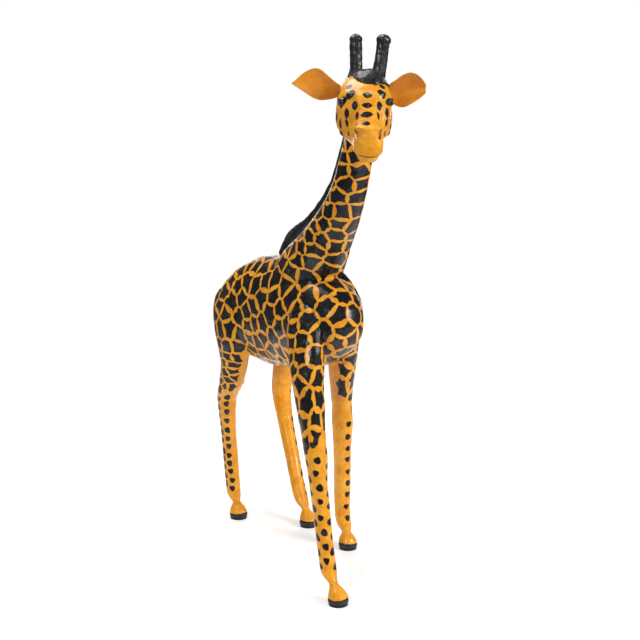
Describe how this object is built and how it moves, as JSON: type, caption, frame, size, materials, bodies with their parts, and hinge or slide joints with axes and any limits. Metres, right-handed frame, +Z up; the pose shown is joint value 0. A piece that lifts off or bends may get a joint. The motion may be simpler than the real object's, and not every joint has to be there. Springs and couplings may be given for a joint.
{
  "type": "giraffe statue",
  "caption": "Floor-standing giraffe statue in mid stride: a carved, doweled wooden core under varnished patterned leather, with leaf ears, knobbed horns, a ribbed mane and a tufted tail.",
  "frame": {"origin": "middle of the statue's footprint, on the floor under its soles", "axes": "+Z up along the neck and horns, -Y the way the body walks, +X the giraffe's left side"},
  "size_m": [0.2596, 0.7729, 1.2271],
  "materials": {
    "core_wood": "carved softwood, unfinished under the leather",
    "dowel_wood": "plain birch",
    "patterned_leather": "thin leather dyed orange with near-black patches, varnished to a soft gloss",
    "ear_leather": "plain orange leather, smooth, with a dark cut edge",
    "black_leather": "near-black leather with worn grey ridges, half gloss",
    "hoof_paint": "wood painted glossy black",
    "sole_rubber": "matt black sheet rubber",
    "eye_glass": "solid black glass, polished",
    "wire_steel": "plain drawn wire"
  },
  "bodies": {
    "root": {"torso_core": "core_wood", "neck_core": "core_wood", "head_core": "core_wood", "front_right_leg_core": "core_wood", "front_left_leg_core": "core_wood", "hind_right_leg_core": "core_wood", "hind_left_leg_core": "core_wood", "neck_dowel": "dowel_wood", "head_dowel": "dowel_wood", "front_right_leg_dowel": "dowel_wood", "front_left_leg_dowel": "dowel_wood", "hind_right_leg_dowel": "dowel_wood", "hind_left_leg_dowel": "dowel_wood", "torso_hide": "patterned_leather", "neck_hide": "patterned_leather", "head_hide": "patterned_leather", "front_right_leg_hide": "patterned_leather", "front_left_leg_hide": "patterned_leather", "hind_right_leg_hide": "patterned_leather", "hind_left_leg_hide": "patterned_leather", "front_right_hoof": "hoof_paint", "front_left_hoof": "hoof_paint", "hind_right_hoof": "hoof_paint", "hind_left_hoof": "hoof_paint", "front_right_sole": "sole_rubber", "front_left_sole": "sole_rubber", "hind_right_sole": "sole_rubber", "hind_left_sole": "sole_rubber", "hoof_pins": "dowel_wood", "right_horn_dowel": "dowel_wood", "left_horn_dowel": "dowel_wood", "right_horn_wrap": "black_leather", "left_horn_wrap": "black_leather", "crown_cap": "black_leather", "right_ear": "ear_leather", "left_ear": "ear_leather", "right_eye": "eye_glass", "left_eye": "eye_glass", "right_eyelid": "black_leather", "left_eyelid": "black_leather", "mane": "black_leather", "tail_wire": "wire_steel", "tail_wrap": "patterned_leather", "tail_tuft": "black_leather"}
  },
  "joints": []
}
